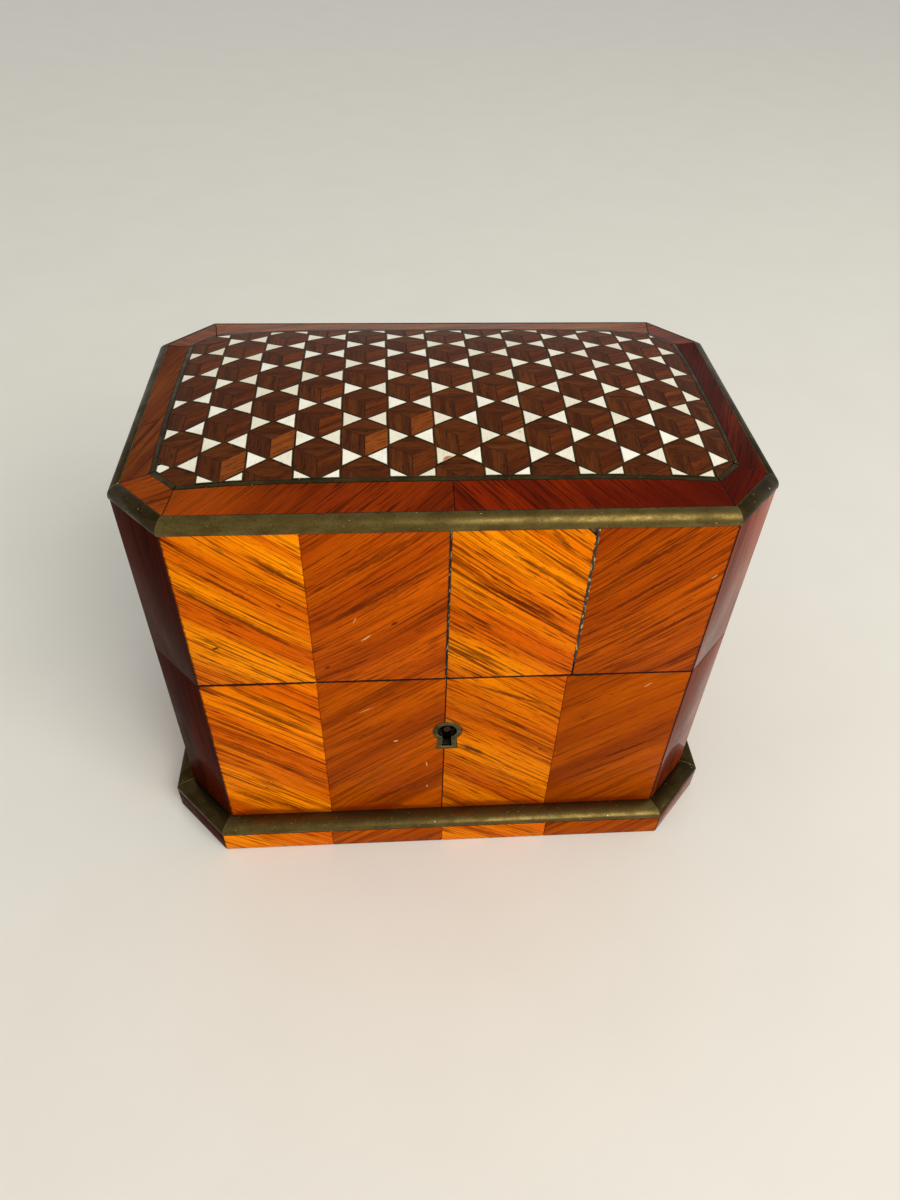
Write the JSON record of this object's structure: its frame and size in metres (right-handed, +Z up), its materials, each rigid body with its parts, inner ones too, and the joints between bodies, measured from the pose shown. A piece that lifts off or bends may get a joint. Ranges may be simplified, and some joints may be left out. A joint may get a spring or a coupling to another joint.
{
  "type": "marquetry casket",
  "caption": "Octagonal lockable wooden casket on a plinth, with a hinged domed lid inlaid with bone and brass; holds small keepsakes.",
  "frame": {"origin": "centre of the footprint on the surface it stands on", "axes": "+Z up, -Y towards the viewer in front of the keyhole, +X to that viewer's right"},
  "size_m": [0.203, 0.129, 0.1588],
  "materials": {
    "carcass_wood": "oiled softwood and oak",
    "front_veneer": "French-polished striped veneer",
    "dark_veneer": "French-polished dark veneer",
    "banding_veneer": "French-polished banding",
    "cube_veneer": "French-polished dark cubes",
    "bone": "polished bone",
    "tarnished_brass": "tarnished brass",
    "polished_brass": "worn brass",
    "steel_sheet": "dull steel",
    "velvet": "silk velvet",
    "baize": "wool baize"
  },
  "bodies": {
    "case": {"bottom_board": "carcass_wood", "case_front_board": "carcass_wood", "case_back_board": "carcass_wood", "case_left_board": "carcass_wood", "case_right_board": "carcass_wood", "case_corner_boards": "carcass_wood", "plinth_front_rail": "carcass_wood", "plinth_back_rail": "carcass_wood", "plinth_left_rail": "carcass_wood", "plinth_right_rail": "carcass_wood", "plinth_corner_rails": "carcass_wood", "plinth_bead": "tarnished_brass", "case_front_veneers": "front_veneer", "case_side_veneers": "dark_veneer", "case_cant_veneers": "dark_veneer", "plinth_veneers": "front_veneer", "escutcheon": "polished_brass", "lock_case": "steel_sheet", "lock_plate": "polished_brass", "lock_selvedge": "polished_brass", "key_pin": "polished_brass", "lock_spring": "steel_sheet", "lock_screws": "polished_brass", "hinge_lower_leaves": "polished_brass", "hinge_pins": "steel_sheet", "hinge_lower_screws": "polished_brass", "case_wall_lining": "velvet", "case_floor_lining": "velvet", "underside_baize": "baize"},
    "lid": {"lid_front_board": "carcass_wood", "lid_back_board": "carcass_wood", "lid_left_board": "carcass_wood", "lid_right_board": "carcass_wood", "lid_corner_boards": "carcass_wood", "lid_top_board": "carcass_wood", "lid_dome_ground": "carcass_wood", "lid_front_veneers": "front_veneer", "lid_side_veneers": "dark_veneer", "lid_cant_veneers": "dark_veneer", "lid_moulding": "tarnished_brass", "lid_wall_lining": "velvet", "lid_ceiling_lining": "velvet", "top_banding": "banding_veneer", "panel_fillet": "tarnished_brass", "bone_triangles": "bone", "brass_stringing": "tarnished_brass", "cube_tops": "cube_veneer", "cube_lefts": "cube_veneer", "cube_rights": "cube_veneer", "strike_plate": "polished_brass", "strike_screws": "polished_brass", "hinge_upper_leaves": "polished_brass", "hinge_upper_screws": "polished_brass"},
    "bolt": {"lock_bolt": "polished_brass"}
  },
  "joints": [
    {"name": "lid_hinge", "type": "hinge", "parent": "case", "child": "lid", "pos_m": [0, 0.0597, 0.0861], "axis": [-1, 0, 0], "range_deg": [0, 95]},
    {"name": "bolt_slide", "type": "slide", "parent": "case", "child": "bolt", "axis": [1, 0, 0], "range_m": [0, 0.004]}
  ]
}
